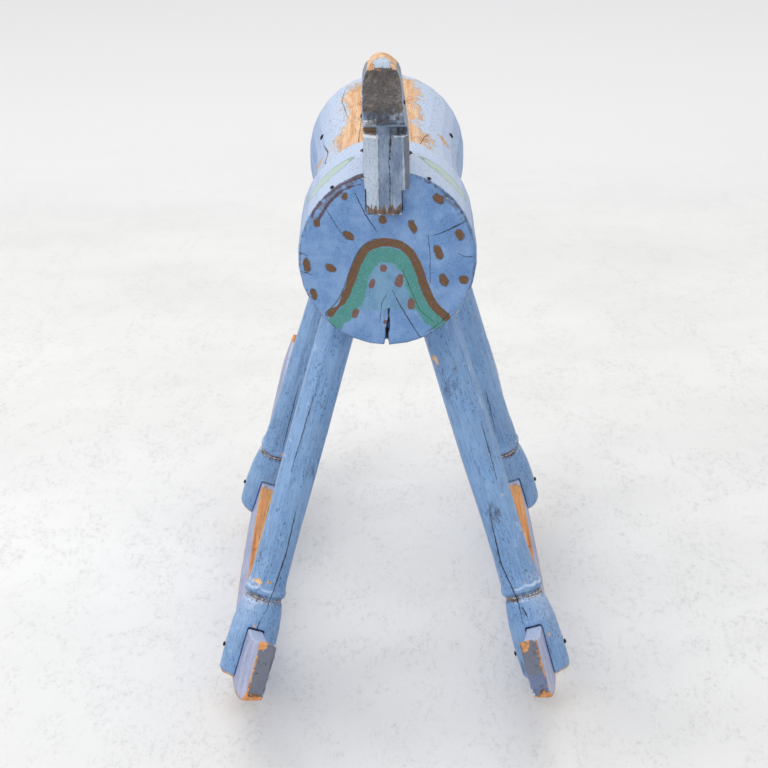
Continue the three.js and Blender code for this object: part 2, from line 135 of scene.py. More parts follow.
def noise(points, size, seed, stretch=(1, 1, 1)):
    """Smooth noise from 0 to 1, with features about size mm across, longer along stretched axes."""
    q = points / (size * np.array(stretch, float))
    cell = np.floor(q)
    f = q - cell
    f = f * f * (3 - 2 * f)
    ix, iy, iz = cell.T
    total = 0
    for dx in (0, 1):
        wx = f[:, 0] if dx else 1 - f[:, 0]
        for dy in (0, 1):
            wy = f[:, 1] if dy else 1 - f[:, 1]
            for dz in (0, 1):
                wz = f[:, 2] if dz else 1 - f[:, 2]
                total = total + wx * wy * wz * hashed(ix + dx, iy + dy, iz + dz, seed)
    return total


def layered(points, size, seed, octaves=3, stretch=(1, 1, 1)):
    """Noise with finer noise on it, centred on zero, from about -1 to 1."""
    total, weight = 0, 0
    for k in range(octaves):
        share = 0.5**k
        total = total + share * (noise(points, size / 2**k, seed + 17 * k, stretch) * 2 - 1)
        weight += share
    return total / weight


def smooth(x, start, end):
    t = np.clip((x - start) / (end - start), 0, 1)
    return t * t * (3 - 2 * t)


def along_path(u, v, path):
    """Signed distance to a path in a plane, and how far along it, from 0 to 1, the nearest point is."""
    best = np.full(len(u), 1e9)
    side = np.ones(len(u))
    where = np.zeros(len(u))
    lengths = [math.dist(a, b) for a, b in zip(path, path[1:])]
    done, whole = 0.0, sum(lengths)
    for (au, av), (bu, bv), length in zip(path, path[1:], lengths):
        du, dv = (bu - au) / length, (bv - av) / length
        t = np.clip((u - au) * du + (v - av) * dv, 0, length)
        cu, cv = u - au - t * du, v - av - t * dv
        d = np.hypot(cu, cv)
        near = d < best
        best[near] = d[near]
        side[near] = np.where(du * cv - dv * cu < 0, -1.0, 1.0)[near]
        where[near] = ((done + t) / whole)[near]
        done += length
    return best * side, where


FAR = 6.0           # mm from a crack where its mark stops
OUTSIDE = -20.0     # what a mark holds well outside it
CRACK_END = 0.15    # the share of its width that a crack keeps at its ends
CRACK_TIP = 0.3     # mm beyond its ends where a crack closes


class Marks:
    """What each point of a surface carries for its material, all in mm and positive where the mark is."""

    def __init__(self, count):
        self.values = {"crack_side": np.full(count, FAR), "crack_half": np.full(count, -1.0)}

    def add(self, name, inside, where=None):
        """The union of a mark with what is there already."""
        inside = np.asarray(inside, float)
        if where is not None:
            inside = np.where(where, inside, OUTSIDE)
        old = self.values.get(name)
        self.values[name] = inside if old is None else np.maximum(old, inside)

    def crack(self, u, v, path, half, where, taper=0.25):
        """A split along a path, half mm wide each side in its middle and closing at its ends."""
        signed, t = along_path(u, v, path)
        open_ = half * np.minimum(1, np.minimum(t, 1 - t) / taper + CRACK_END)
        width = np.where((np.abs(signed) < FAR) & where, open_, -1.0)
        beyond = (t <= 0) | (t >= 1)
        width = np.where(beyond, np.minimum(width, CRACK_TIP - np.abs(signed)), width)
        nearer = (np.abs(signed) < np.abs(self.values["crack_side"])) & (width > -1)
        self.values["crack_side"] = np.where(nearer, signed, self.values["crack_side"])
        self.values["crack_half"] = np.where(nearer, width, self.values["crack_half"])


# ---- meshes


def vectors_of(items, name):
    flat = np.empty(len(items) * 3, np.float32)
    items.foreach_get(name, flat)
    return flat.reshape(-1, 3).astype(float)


def points_of(mesh):
    return vectors_of(mesh.vertices, "co") / MM


def normals_of(mesh):
    return vectors_of(mesh.vertex_normals, "vector")


def set_points(mesh, points):
    mesh.vertices.foreach_set("co", (points * MM).astype(np.float32).ravel())
    mesh.update()


def edges_of(mesh):
    flat = np.empty(len(mesh.edges) * 2, np.int32)
    mesh.edges.foreach_get("vertices", flat)
    return flat.reshape(-1, 2)


def averaged(values, edges, rounds):
    """Each value moved towards the mean of its neighbours, a number of times."""
    count = np.zeros(len(values))
    np.add.at(count, edges[:, 0], 1)
    np.add.at(count, edges[:, 1], 1)
    count = np.maximum(count, 1)
    values = values.astype(float)
    for _ in range(rounds):
        if values.ndim == 1:
            total = np.bincount(edges[:, 0], values[edges[:, 1]], len(values))
            total += np.bincount(edges[:, 1], values[edges[:, 0]], len(values))
            values = 0.5 * values + 0.5 * total / count
        else:
            values = np.stack([averaged(values[:, k], edges, 1) for k in range(values.shape[1])], 1)
    return values


def write_marks(mesh, marks, grain):
    for name, values in marks.values.items():
        attribute = mesh.attributes.new(name, "FLOAT", "POINT")
        attribute.data.foreach_set("value", values.astype(np.float32))
    attribute = mesh.attributes.new("grain", "FLOAT_VECTOR", "POINT")
    attribute.data.foreach_set("vector", grain.astype(np.float32).ravel())


def voxelled(node, voxel):
    """A copy of a CAD node's shape as an even mesh of small faces, ready to carve."""
    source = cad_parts[node]
    mesh = source.data.copy()
    mesh.materials.clear()
    piece = bpy.data.objects.new(node + "_carved", mesh)
    bpy.context.scene.collection.objects.link(piece)
    remesh = piece.modifiers.new("even", "REMESH")
    remesh.mode = "VOXEL"
    remesh.voxel_size = voxel * MM
    graph = bpy.context.evaluated_depsgraph_get()
    even = bpy.data.meshes.new_from_object(piece.evaluated_get(graph))
    piece.modifiers.clear()
    piece.data = even
    bpy.data.meshes.remove(mesh)
    return piece


def carved(node, voxel, relax, shape, dress, material):
    """Replaces a CAD node by its carved and dressed likeness, which stays inside the node's own box."""
    piece = voxelled(node, voxel)
    mesh = piece.data
    edges = edges_of(mesh)
    points = averaged(points_of(mesh), edges, relax)
    set_points(mesh, points)
    if shape is not None:
        points = shape(points, normals_of(mesh))
        low, high = (np.array(corner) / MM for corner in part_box(node))
        points = np.clip(points, low, high)
        set_points(mesh, points)
    normals = normals_of(mesh)
    softer = averaged(points, edges, 8)
    ridge = averaged(np.einsum("ij,ij->i", points - softer, normals), edges, 2)
    marks, grain = dress(points, normals, ridge)
    write_marks(mesh, marks, grain)
    mesh.materials.clear()
    mesh.materials.append(material)
    mesh.shade_smooth()
    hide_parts(node)
    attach(piece, "root")
    return piece


# ---- shaders


class Shader:
    """A node material, built one node at a time."""

    def __init__(self, name):
        self.material = bpy.data.materials.new(name)
        self.material.use_nodes = True
        self.tree = self.material.node_tree
        self.tree.nodes.clear()
        self.output = self.tree.nodes.new("ShaderNodeOutputMaterial")
        self.surface = self.tree.nodes.new("ShaderNodeBsdfPrincipled")
        self.tree.links.new(self.surface.outputs[0], self.output.inputs[0])

    def feed(self, socket, value):
        if hasattr(value, "is_linked"):
            self.tree.links.new(value, socket)
        elif value is not None:
            socket.default_value = value

    def node(self, kind, inputs=None, output=0, **settings):
        made = self.tree.nodes.new(kind)
        for name, value in settings.items():
            setattr(made, name, value)
        for name, value in (inputs or {}).items():
            self.feed(made.inputs[name], value)
        return made.outputs[output]

    def math(self, operation, a, b=None, c=None):
        made = self.tree.nodes.new("ShaderNodeMath")
        made.operation = operation
        for socket, value in zip(made.inputs, (a, b, c)):
            self.feed(socket, value)
        return made.outputs[0]

    def attribute(self, name, vector=False):
        made = self.tree.nodes.new("ShaderNodeAttribute")
        made.attribute_name = name
        return made.outputs["Vector" if vector else "Fac"]

    def scaled(self, vector, along, across, third=None):
        third = across if third is None else third
        return self.node("ShaderNodeVectorMath", {0: vector, 1: (1 / along, 1 / across, 1 / third)},
                         operation="MULTIPLY")

    def noise(self, vector, detail=3.0, roughness=0.55, distortion=0.0):
        return self.node("ShaderNodeTexNoise", {"Vector": vector, "Scale": 1.0, "Detail": detail,
                                                "Roughness": roughness, "Distortion": distortion})

    def step(self, value, start, end):
        """0 below start, 1 above end, smooth between."""
        made = self.tree.nodes.new("ShaderNodeMapRange")
        made.interpolation_type = "SMOOTHSTEP"
        for name, given in (("Value", value), ("From Min", start), ("From Max", end)):
            self.feed(made.inputs[name], given)
        return made.outputs[0]

    def mix(self, factor, a, b):
        made = self.tree.nodes.new("ShaderNodeMix")
        made.data_type = "RGBA"
        self.feed(made.inputs[0], factor)
        self.feed(made.inputs[6], a)
        self.feed(made.inputs[7], b)
        return made.outputs[2]

    def glaze(self, below, field, start, end, strength, above):
        """One colour over another where a field is high, covering it by strength at most."""
        return self.mix(self.math("MULTIPLY", self.step(field, start, end), strength), below, above)

    def blend(self, factor, a, b):
        """A mix of two plain numbers."""
        made = self.tree.nodes.new("ShaderNodeMix")
        made.data_type = "FLOAT"
        self.feed(made.inputs[0], factor)
        self.feed(made.inputs[2], a)
        self.feed(made.inputs[3], b)
        return made.outputs[0]


PAINT_ROUGHNESS, WOOD_ROUGHNESS, GRIME_ROUGHNESS = 0.42, 0.74, 0.66


def wood_fields(s, grain):
    """The noise that wood and paint share, each kind longer along the grain than across it."""
    return {
        "fibre": s.noise(s.scaled(grain, 46, 1.0), 4.0, 0.62),
        "ring": s.noise(s.scaled(grain, 190, 7), 3.0, 0.5, 0.6),
        "fine": s.noise(s.scaled(grain, 2.0, 1.2), 3.0, 0.6),
        "patch": s.noise(s.scaled(grain, 34, 22), 4.0, 0.62),
        "cloud": s.noise(s.scaled(grain, 80, 46), 3.0, 0.6),
        "brush": s.noise(s.scaled(grain, 26, 1.5), 3.0, 0.6),
    }


def bare_wood(s, field, tones):
    """Worn wood, with growth rings, dark fibres, blotches and dirty pores."""
    tone, tone_pale, tone_dark = tones
    wood = s.mix(s.step(field["ring"], 0.35, 0.68), tone_pale, tone)
    wood = s.glaze(wood, field["fibre"], 0.5, 0.7, 0.75, tone_dark)
    wood = s.glaze(wood, field["patch"], 0.52, 0.7, 0.45, tone_dark)
    return s.glaze(wood, field["fine"], 0.64, 0.72, 0.6, OLD_WOOD)


def brushed_paint(s, grain, field, paints, streaks, clouds):
    """Paint as the brush left it, in patches and streaks, and paler on upward faces: partly sun-bleached
    paint, partly painted top light.
    """
    paint, pale, deep = paints
    colour = s.mix(s.blend(s.step(field["patch"], 0.36, 0.6), 1 - 0.9 * clouds, 1.0), pale, paint)
    colour = s.glaze(colour, field["cloud"], 0.5, 0.72, 0.5 * clouds, deep)
    colour = s.glaze(colour, field["brush"], 0.45, 0.72, 0.42, deep)
    colour = s.glaze(colour, field["fibre"], 0.58, 0.72, 0.34, deep)
    colour = s.glaze(colour, field["fine"], 0.58, 0.8, 0.3, pale)
    pores = s.noise(s.scaled(grain, 18, 0.7), 3.0, 0.7)
    colour = s.glaze(colour, pores, 0.58, 0.7, streaks, deep)
    colour = s.glaze(colour, pores, 0.42, 0.3, streaks * 0.6, pale)
    # Upward faces turn paler: partly sun bleaching, partly painted top light.
    patchy = s.math("MULTIPLY", s.math("SUBTRACT", field["patch"], 0.5), 0.5)
    faded_and_toplit = s.math("ADD", s.attribute("faded_and_toplit"), patchy)
    return s.mix(s.step(faded_and_toplit, 0.0, 1.0), colour, SUN_FADED_AND_LIT)


def spread(s, grain, amount, along, across):
    """Noise centred on zero, amount mm either way, for a ragged edge."""
    field = s.noise(s.scaled(grain, along, across), 4.0, 0.65)
    return s.math("MULTIPLY", s.math("SUBTRACT", field, 0.5), amount * 2)


def marked(s, grain, mark, ragged, start, end):
    """Where a mark is, from 0 to 1. ragged is (mm either way, mm along the grain, mm across it)."""
    return s.step(s.math("ADD", s.attribute(mark), spread(s, grain, *ragged)), start, end)


def painted_layer(s, grain, field, colour, mark, tone, tone_pale, ragged, strength):
    """A second colour painted over the first, and worn through in streaks."""
    inside = marked(s, grain, mark, (ragged, 4.2, 4.2), -0.35, 0.4)
    over = s.mix(s.step(field["fine"], 0.48, 0.72), tone, tone_pale)
    worn_through = s.math("MULTIPLY", s.step(field["brush"], 0.6, 0.76), 0.5)
    inside = s.math("MULTIPLY", inside, s.math("SUBTRACT", strength, worn_through))
    return s.mix(inside, colour, over)


def worn_places(s, grain, specks, soft_wear):
    """How bare each place is: larger worn places alone, and the same with flakes and nicks."""
    flake = s.noise(s.scaled(grain, 6.5, 1.7), 4.0, 0.7)
    flaked = s.step(flake, 0.735 - 0.035 * specks, 0.765 - 0.035 * specks)
    nicks = s.noise(s.scaled(grain, 1.6, 1.3), 2.0, 0.5)
    nicked = s.math("MULTIPLY", s.step(nicks, 0.72, 0.76), 0.75)
    bare = marked(s, grain, "bare", (4.2, 8, 2.4), -0.3 - soft_wear, 0.5 + soft_wear)
    exposed = s.math("MAXIMUM", bare, s.math("MULTIPLY", s.math("MAXIMUM", flaked, nicked), 0.8))
    return bare, exposed


def split_wood(s, grain):
    """Where the wood has split, from 0 to 1."""
    side = s.math("ABSOLUTE", s.math("ADD", s.attribute("crack_side"), spread(s, grain, 1.1, 4, 4)))
    width = s.math("ADD", s.attribute("crack_half"), spread(s, grain, 0.35, 5, 5))
    return s.step(s.math("SUBTRACT", width, side), -0.28, 0.16)


def painted_wood(name, paints, layers=(), tones=BARE_TONES, specks=1.0, streaks=0.5, clouds=1.0,
                 flecks=0.6, soft_wear=0.0):
    """Brushed oil paint on wood, worn through to the grain where the marks say so.

    paints are the paint and its paler and deeper shades. layers are (mark, colour, paler colour,
    ragged edge in mm, strength), painted one over the other.
    """
    s = Shader(name)
    grain = s.attribute("grain", vector=True)
    field = wood_fields(s, grain)
    wood = bare_wood(s, field, tones)
    colour = brushed_paint(s, grain, field, paints, streaks, clouds)
    for layer in layers:
        colour = painted_layer(s, grain, field, colour, *layer)

    # Pale worn edges and painted highlights, then flakes and worn places, then small dark flecks in crowds.
    rubbed_and_lit = marked(s, grain, "rubbed_and_lit", (2.2, 14, 2.4), -0.4, 0.8)
    colour = s.mix(s.math("MULTIPLY", rubbed_and_lit, 0.8), colour, RUBBED_AND_LIT_PALE)
    bare, exposed = worn_places(s, grain, specks, soft_wear)
    colour = s.mix(exposed, colour, s.mix(bare, OLD_WOOD, wood))
    crowd = s.math("MULTIPLY", s.blend(s.step(field["patch"], 0.42, 0.6), 0.15, 1.0), flecks)
    fleck = s.noise(s.scaled(grain, 3.6, 1.5), 3.0, 0.72)
    colour = s.glaze(colour, fleck, 0.565, 0.63, crowd, FLECK_DARK)

    # Dirt, and painted shade in the hollows, and black splits.
    grime_and_shade = marked(s, grain, "grime_and_shade", (3.6, 9, 2.6), -1.2, 2.0)
    mottle = s.noise(s.scaled(grain, 5, 3), 4.0, 0.7)
    thick = s.blend(s.step(mottle, 0.4, 0.6), 0.55, 0.97)
    colour = s.mix(s.math("MULTIPLY", grime_and_shade, thick), colour, GRIME_AND_SHADE)
    crack = split_wood(s, grain)
    colour = s.mix(s.math("MULTIPLY", crack, 0.92), colour, CRACK_BLACK)

    rough = s.blend(exposed, PAINT_ROUGHNESS, WOOD_ROUGHNESS)
    rough = s.blend(grime_and_shade, rough, GRIME_ROUGHNESS)
    rough = s.math("ADD", rough, s.math("MULTIPLY", s.math("SUBTRACT", field["fine"], 0.5), 0.2))

    height = s.math("MULTIPLY", field["brush"], 0.3)
    height = s.math("ADD", height, s.math("MULTIPLY", field["fibre"], 0.4))
    height = s.math("SUBTRACT", height, s.math("MULTIPLY", exposed, 0.3))
    height = s.math("SUBTRACT", height, s.math("MULTIPLY", crack, 1.3))
    bump = s.node("ShaderNodeBump", {"Strength": 0.75, "Distance": 0.001, "Height": height})

    s.feed(s.surface.inputs["Base Color"], colour)
    s.feed(s.surface.inputs["Roughness"], rough)
    s.feed(s.surface.inputs["Normal"], bump)
    s.surface.inputs["Specular IOR Level"].default_value = 0.5
    return s.material


def old_iron(name):
    s = Shader(name)
    place = s.node("ShaderNodeTexCoord", output=3)
    spots = s.noise(s.scaled(place, 0.0012, 0.0012), 4.0, 0.6)
    rust = s.step(spots, 0.5, 0.66)
    s.feed(s.surface.inputs["Base Color"], s.mix(rust, IRON, IRON_RUST))
    s.feed(s.surface.inputs["Roughness"], s.blend(rust, 0.45, 0.85))
    s.feed(s.surface.inputs["Metallic"], s.blend(rust, 0.8, 0.1))
    s.feed(s.surface.inputs["Normal"],
           s.node("ShaderNodeBump", {"Strength": 0.6, "Distance": 0.0003, "Height": spots}))
    return s.material


# ---- the log


FACE_DEPTH, RIM_DEPTH = 6.0, 8.0        # mm behind the front end that count as its face and its rim
# The big check is at its full depth for CHECK_FULL mm, and ends CHECK_DEPTH mm behind the front end.
CHECK_FULL, CHECK_DEPTH, CHECK_TOP = 8.0, 26.0, -44.0


def about_log(points):
    """The x, y and z of points, with z counted from the middle of the log."""
    return points[:, 0], points[:, 1], points[:, 2] - LOG_CENTRE_Z


def round_log(x, z):
    """Degrees round the log from its top, positive on its left."""
    return np.degrees(np.arctan2(x, z))


def near_check(y, z):
    """The part of the front end that the big check runs through."""
    return (y < LOG_FRONT + CHECK_DEPTH) & (z < CHECK_TOP)


# Painted spots on the front end: across, up, width, height in mm, and tilt in degrees.
BROWN_SPOTS = [
    (-39, 62, 6, 8, 10), (-66, 37, 7, 8, -10), (-36, 24, 12, 8, 32), (-54, -7, 12, 8, 35),
    (-76, -4, 7, 15, -6), (-70, -33, 6, 11, -15), (-4, 39, 8, 9, -20), (24, 32, 8, 14, -24),
    (48, 59, 12, 10, 30), (68, 24, 9, 12, -22), (48, 7, 8, 15, -18), (53, -20, 9, 13, -18),
    (72, -20, 10, 9, 20),
]
RED_SPOTS = [
    (-4, -8, 8, 9, 0), (11, -20, 9, 16, 14), (-15, -23, 7, 11, 20), (22, -43, 8, 13, 4),
    (-31, -52, 7, 11, 24), (-3, -61, 4, 5, 0),
]


def spots(x, z, table):
    """Rounded dabs of paint, in mm inside the nearest one."""
    best = np.full(len(x), OUTSIDE)
    for across, up, width, height, tilt in table:
        c, s = math.cos(math.radians(tilt)), math.sin(math.radians(tilt))
        u, v = (x - across) * c - (z - up) * s, (z - up) * c + (x - across) * s
        reach = (np.abs(2.3 * u / width) ** 2.4 + np.abs(2.3 * v / height) ** 2.4) ** (1 / 2.4)
        best = np.maximum(best, (1 - reach) * min(width, height) / 2)
    return best


def rounded(path, passes=3):
    """The same path with its corners cut off, over and over, until it runs smoothly."""
    for _ in range(passes):
        cut = [path[0]]
        for (x0, z0), (x1, z1) in zip(path, path[1:]):
            cut.append((0.75 * x0 + 0.25 * x1, 0.75 * z0 + 0.25 * z1))
            cut.append((0.25 * x0 + 0.75 * x1, 0.25 * z0 + 0.75 * z1))
        path = cut + [path[-1]]
    return path


# The two painted stripes under the neck, as corner points in mm from the middle of the disc.
BROWN_STRIPE = rounded([(-55, -53), (-45, -44), (-37, -28), (-31, -8), (-21, 13), (-2, 19), (18, 13),
                        (29, -6), (34, -26), (42, -44), (55, -57)])
GREEN_STRIPE = rounded([(-50, -60), (-38, -49), (-30, -34), (-26, -14), (-15, 4), (0, 7), (15, 2), (23, -14),
                        (28, -34), (37, -52), (49, -63)])


def shape_log(points, normals):
    """The log with its tool marks and its damage cut in."""
    x, y, z = about_log(points)
    angle = np.arctan2(z, x)
    # Long shallow flats left by the plane, on its round but not on its ends.
    flats, flat_depth = 30, 0.4
    phase = (angle / (2 * math.pi) * flats + 0.8 * noise(points, 150, 3, (9, 1, 9))) % 1 - 0.5
    side = 1 - smooth(np.abs(normals[:, 1]), 0.5, 0.9)
    worn = flat_depth * (1 - 4 * phase**2) * side
    rough = 0.3 * np.maximum(0, layered(points, 9, 5, 3, (1, 4, 1)))
    # The edges of both ends are knocked about.
    out = np.hypot(x, z / LOG_TALL)
    front_edge = smooth(-y, -LOG_FRONT - RIM_DEPTH, -LOG_FRONT)
    rear_edge = smooth(y, LOG_REAR - RIM_DEPTH, LOG_REAR)
    rim = smooth(out, 74, 82) * (front_edge + rear_edge)
    dents = 1.3 * rim * np.maximum(0, layered(points, 13, 9, 3)) ** 1.2
    # The big check at the foot of the front end.
    signed, t = along_path(x, z, BIG_CHECK)
    half = 0.25 + 1.7 * smooth(t, 0.15, 0.6)
    check_depth = 8
    check = np.where(near_check(y, z), check_depth * (1 - smooth(np.abs(signed) / half, 0.6, 1.0)), 0)
    check *= 1 - smooth(y, LOG_FRONT + CHECK_FULL, LOG_FRONT + CHECK_DEPTH)
    # A shallow chip on the upper left of the rim.
    chip_at = np.array([62.0, LOG_FRONT, LOG_CENTRE_Z + 53])
    chip_size, chip_depth = (9, 7, 9), 1.6
    chip = chip_depth * (1 - smooth(np.linalg.norm((points - chip_at) / chip_size, axis=1), 0.3, 1.0))
    return points - normals * (rough + worn + check + dents + chip)[:, None]


# The splits of the front end: points across and up in mm, half width, and how soon each tapers.
BIG_CHECK = [(0.6, -48.0), (0.2, -60.0), (-1.2, -72.0), (-2.2, -88.0)]
FRONT_CRACKS = [
    (BIG_CHECK, 1.7, 0.6),
    ([(-30, 66), (-21, 46), (-9, 27)], 0.34, 0.3),
    ([(-58, 52), (-50, 38), (-42, 26)], 0.18, 0.3),
    ([(80, 42), (70, 35), (58, 29), (43, 23)], 0.62, 0.7),
    ([(4, -29), (10, -42), (20, -60), (31, -78)], 0.3, 0.3),
    ([(38, 25), (40, 8), (40, -24)], 0.16, 0.3),
    ([(1, -30), (-6, -42), (-8, -62)], 0.16, 0.3),
    ([(-82, -10), (-70, -14)], 0.15, 0.3),
    ([(60, -50), (50, -62), (36, -72)], 0.16, 0.3),
    ([(-82, 8), (-74, 5)], 0.15, 0.3),
    ([(66, 6), (74, 2), (83, 3)], 0.18, 0.3),
    ([(14, -10), (30, -50), (46, -64)], 0.12, 0.3),
]
# Small worn places beside the seat: across, along, half width and half length in mm.
SEAT_ISLANDS = ((-66, -72, 5, 16), (66, -70, 7, 20), (60, 60, 5, 9), (-70, 30, 4, 10))
# Splits along the back: mm round from the top and mm along the log, and half their width.
TOP_CRACKS = [
    ([(-78, -60), (-84, -10), (-80, 20), (-90, 80)], 0.9),
    ([(20, -60), (24, 30), (20, 110)], 0.22),
    ([(-30, -88), (-34, -20), (-30, 90)], 0.22),
    ([(40, -40), (48, 10), (56, 40)], 0.3),
    ([(-48, 90), (-52, 150), (-44, 200)], 0.22),
    ([(104, -60), (112, 20), (108, 100)], 0.35),
    ([(-120, -70), (-112, 40), (-116, 150)], 0.35),
    ([(150, -200), (156, -60), (150, 90)], 0.4),
]


def paint_front(marks, points, wander):
    """The spots, stripes and dabs painted on the front end."""
    x, y, z = about_log(points)
    face = y < LOG_FRONT + FACE_DEPTH
    dabs = spots(x, z, BROWN_SPOTS) + 1.1 * wander
    marks.add("brown", dabs, face)
    marks.add("spot_edge", 0.5 - np.abs(dabs + 0.2), face)
    signed, t = along_path(x, z, BROWN_STRIPE)
    brown_half = 4.1
    broken = 3.4 * (1 - smooth(t, 0.02, 0.22)) * (0.7 + layered(points, 7, 73, 2))
    marks.add("brown", brown_half - np.abs(signed) + 0.5 * wander - broken, face)
    marks.add("spot_edge", 0.7 - np.abs(signed - 4.2), face & (t < 0.45))
    signed, _ = along_path(x, z, GREEN_STRIPE)
    green_outer, green_inner = 6.5, 8.5
    soft = np.where(signed > 0, green_outer - signed, (green_inner + signed) * 0.35)
    marks.add("green", soft + 0.6 * wander, face)
    marks.add("tint", np.minimum(-signed - 2, 2), face & (np.abs(x) < 38) & (z > -50))
    marks.add("red", spots(x, z, RED_SPOTS) + wander, face)


def soil_rim(marks, points, wander):
    """The rim of the front end is dirty and chipped, with plum lines on its upper right."""
    x, y, z = about_log(points)
    out = np.hypot(x, z / LOG_TALL)
    around = round_log(x, z)
    edge = np.where(y < LOG_FRONT + 9, 1.3 - np.abs(out - 82.6), OUTSIDE)
    edge = edge + 1.9 * layered(points, 9, 81, 3)
    marks.add("grime_and_shade", edge - 0.6)
    rim = y < LOG_FRONT + RIM_DEPTH
    upper_right = np.minimum(around + 56, -15 - around) / 6
    lines = 1.2 - np.minimum(np.abs(out - 77.0 - 1.5 * np.sin(around / 7)), np.abs(out - 82.5))
    marks.add("plum", np.minimum(lines, upper_right) + 1.1 * wander, rim)
    marks.add("smoke", np.minimum(3.2 - np.abs(out - 79.5), upper_right * 0.5) + 2.2 * wander - 0.5, rim)
    upper_left = np.minimum(around - 38, 62 - around) / 5
    marks.add("smoke", np.minimum(2.2 - np.abs(out - 80), upper_left) + 2.6 * wander - 0.8, rim)


def paint_leaves(marks, points):
    """A leaf on each shoulder of the collar, bent like a bow; its green is painted pale with painted glare.
    """
    x, y, z = about_log(points)
    leaf_turn, leaf_y, half_length, half_width, paint_depth = 43, -158, 30, 15, 12
    turn = np.abs(round_log(x, z))
    arc = np.radians(turn - leaf_turn) * LOG_RADIUS
    centre_y = leaf_y + 0.010 * arc**2 - 0.05 * arc
    leaf = 1 - np.sqrt((arc / half_length) ** 2 + ((y - centre_y) / half_width) ** 2)
    shoulder = (y > LOG_FRONT + RIM_DEPTH) & (y < COLLAR_END) & (turn < 90)
    marks.add("leaf", leaf * paint_depth, shoulder)
    marks.add("leaf_edge", 1.2 - np.abs(leaf * paint_depth), shoulder)


def rub_seat(marks, points):
    """The seat is rubbed to the wood, further on the right of the log than on the left."""
    x, y, z = about_log(points)
    top = z > 0
    seat_start, seat_end = COLLAR_END + 3, 196.0
    back = smooth(y, seat_start, seat_end)
    right_edge = -(56 - 12 * back + 5 * np.sin(y / 19))
    pinch = 9 * np.exp(-(((y - 60) / 34) ** 2)) + 6 * smooth(y, -40, 20)
    left_edge = 54 - 12 * back - pinch + 3 * np.sin(y / 11)
    across = np.minimum(x - right_edge, left_edge - x)
    seat = np.minimum(across, np.minimum(y - seat_start, seat_end - y) * 0.5)
    frayed = 1.8 * layered(points, 16, 85, 3, (1, 1.4, 1)) + 2.6 * layered(points, 4.5, 86, 2)
    thin = np.minimum(seat, 12) * 0.3 - 0.8 + frayed
    marks.add("bare", thin, top)
    marks.add("rubbed_and_lit", thin + 2.2, top)
    for px, py, wide, long_ in SEAT_ISLANDS:
        island = (1 - np.hypot((x - px) / wide, (y - py) / long_)) * wide
        marks.add("bare", island, top)


def dress_log(points, normals, ridge):
    x, y, z = about_log(points)
    marks = Marks(len(points))
    wander = 1.3 * layered(points, 5, 71, 3)
    paint_front(marks, points, wander)
    soil_rim(marks, points, wander)
    paint_leaves(marks, points)
    rub_seat(marks, points)

    face = y < LOG_FRONT + FACE_DEPTH
    split_face = near_check(y, z) & (np.abs(x) < 9)
    marks.add("bare", ridge * 12 - 9, ~split_face)
    # Painted shade in hollows and creases, deeper the more concave the surface.
    marks.add("grime_and_shade", -ridge * 8 - 4.5, ~face)
    # Pale on convex edges: worn paint, and painted highlight.
    marks.add("rubbed_and_lit", ridge * 14 - 5, ~split_face)
    marks.add("grime_and_shade", 3.0 - np.abs(y - COLLAR_END - 6) * 0.5 + 2.0 * wander - 2.4)
    # Upward faces of the round are painted paler: sun bleaching, and painted top light.
    marks.values["faded_and_toplit"] = np.where(face, -1.0, 0.86 * smooth(normals[:, 2], -0.2, 0.8) - 0.12)

    for path, half, taper in FRONT_CRACKS:
        marks.crack(x, z, path, half, y < LOG_FRONT + RIM_DEPTH, taper)
    arc_length = np.radians(round_log(x, z)) * LOG_RADIUS
    for path, half in TOP_CRACKS:
        marks.crack(arc_length, y, path, half, y > LOG_FRONT + 12)
    grain = np.stack([y, x, z], 1)
    return marks, grain


# ---- head


CROWN_Z, FACE_LOW, FACE_HIGH = 639.0, 596.0, 641.0
LIP_Z, NOTCH_Z, NECK_TOP = 599.0, 582.0, 577.0


def shape_head(points, normals):
    z = points[:, 2]
    rough = 0.35 * np.maximum(0, layered(points, 10, 21, 3, (1, 1, 3)))
    # The crown was whittled in short strokes, and the face is dented from years of knocks.
    crown = smooth(z, 625, 640)
    strokes = 1.1 * crown * np.maximum(0, layered(points, 9, 23, 2, (1.8, 1, 0.7)))
    dents = 0.7 * smooth(z, 590, 600) * np.maximum(0, layered(points, 6, 25, 2))
    return points - normals * (rough + strokes + dents)[:, None]


def wear_crown(marks, points, wander):
    """The crown is worn to the wood, but for a remnant of paint, and has a knot on each side."""
    x, y, z = points.T
    above = z > CROWN_Z
    crown = np.minimum(z - (CROWN_Z + 0.5), 5) + 1.2 * wander
    remnant = (1 - np.hypot((x + 3) / 8, (y + 249) / 6)) * 5 + 4 * wander
    marks.add("bare", np.where(above, np.minimum(crown, -remnant), crown))
    marks.add("pale_patch", remnant, above)
    for knot_x in (-14, 8):
        knot = (1 - np.hypot((x - knot_x) / 3.5, (z - FACE_HIGH) / 3)) * 3.2
        marks.add("old_brown", knot + 0.6 * wander)


def blacken_face(marks, points, frontal, wander):
    """Years of hands have blackened the face above the mouth."""
    x, z = points[:, 0], points[:, 2]
    dark = np.minimum(np.minimum(z - FACE_LOW, FACE_HIGH - z), 5)
    middle = 1 - np.abs(x + 3) / 18
    blotch = layered(points, 4.5, 99, 3, (1, 1, 2.2))
    hands = np.minimum(dark * 0.9, 1.6) - 0.7 + 1.6 * middle + 3.2 * blotch
    marks.add("grime_and_shade", hands, frontal & (z > FACE_LOW - 4))
    corner = np.minimum(9 - (FACE_HIGH - z) * 0.3, 4) * (1.4 - middle) + 2 * wander
    marks.add("brown_stain", corner, frontal & (z > FACE_LOW + 10) & (z < FACE_HIGH + 1))
    streak = layered(points, 3.2, 95, 3, (1, 1, 7))
    pale = np.minimum(2 - np.abs(x - 9), 1.6) + 1.6 * streak
    marks.add("pale_patch", pale, frontal & (z > FACE_LOW + 7) & (z < FACE_HIGH - 5))


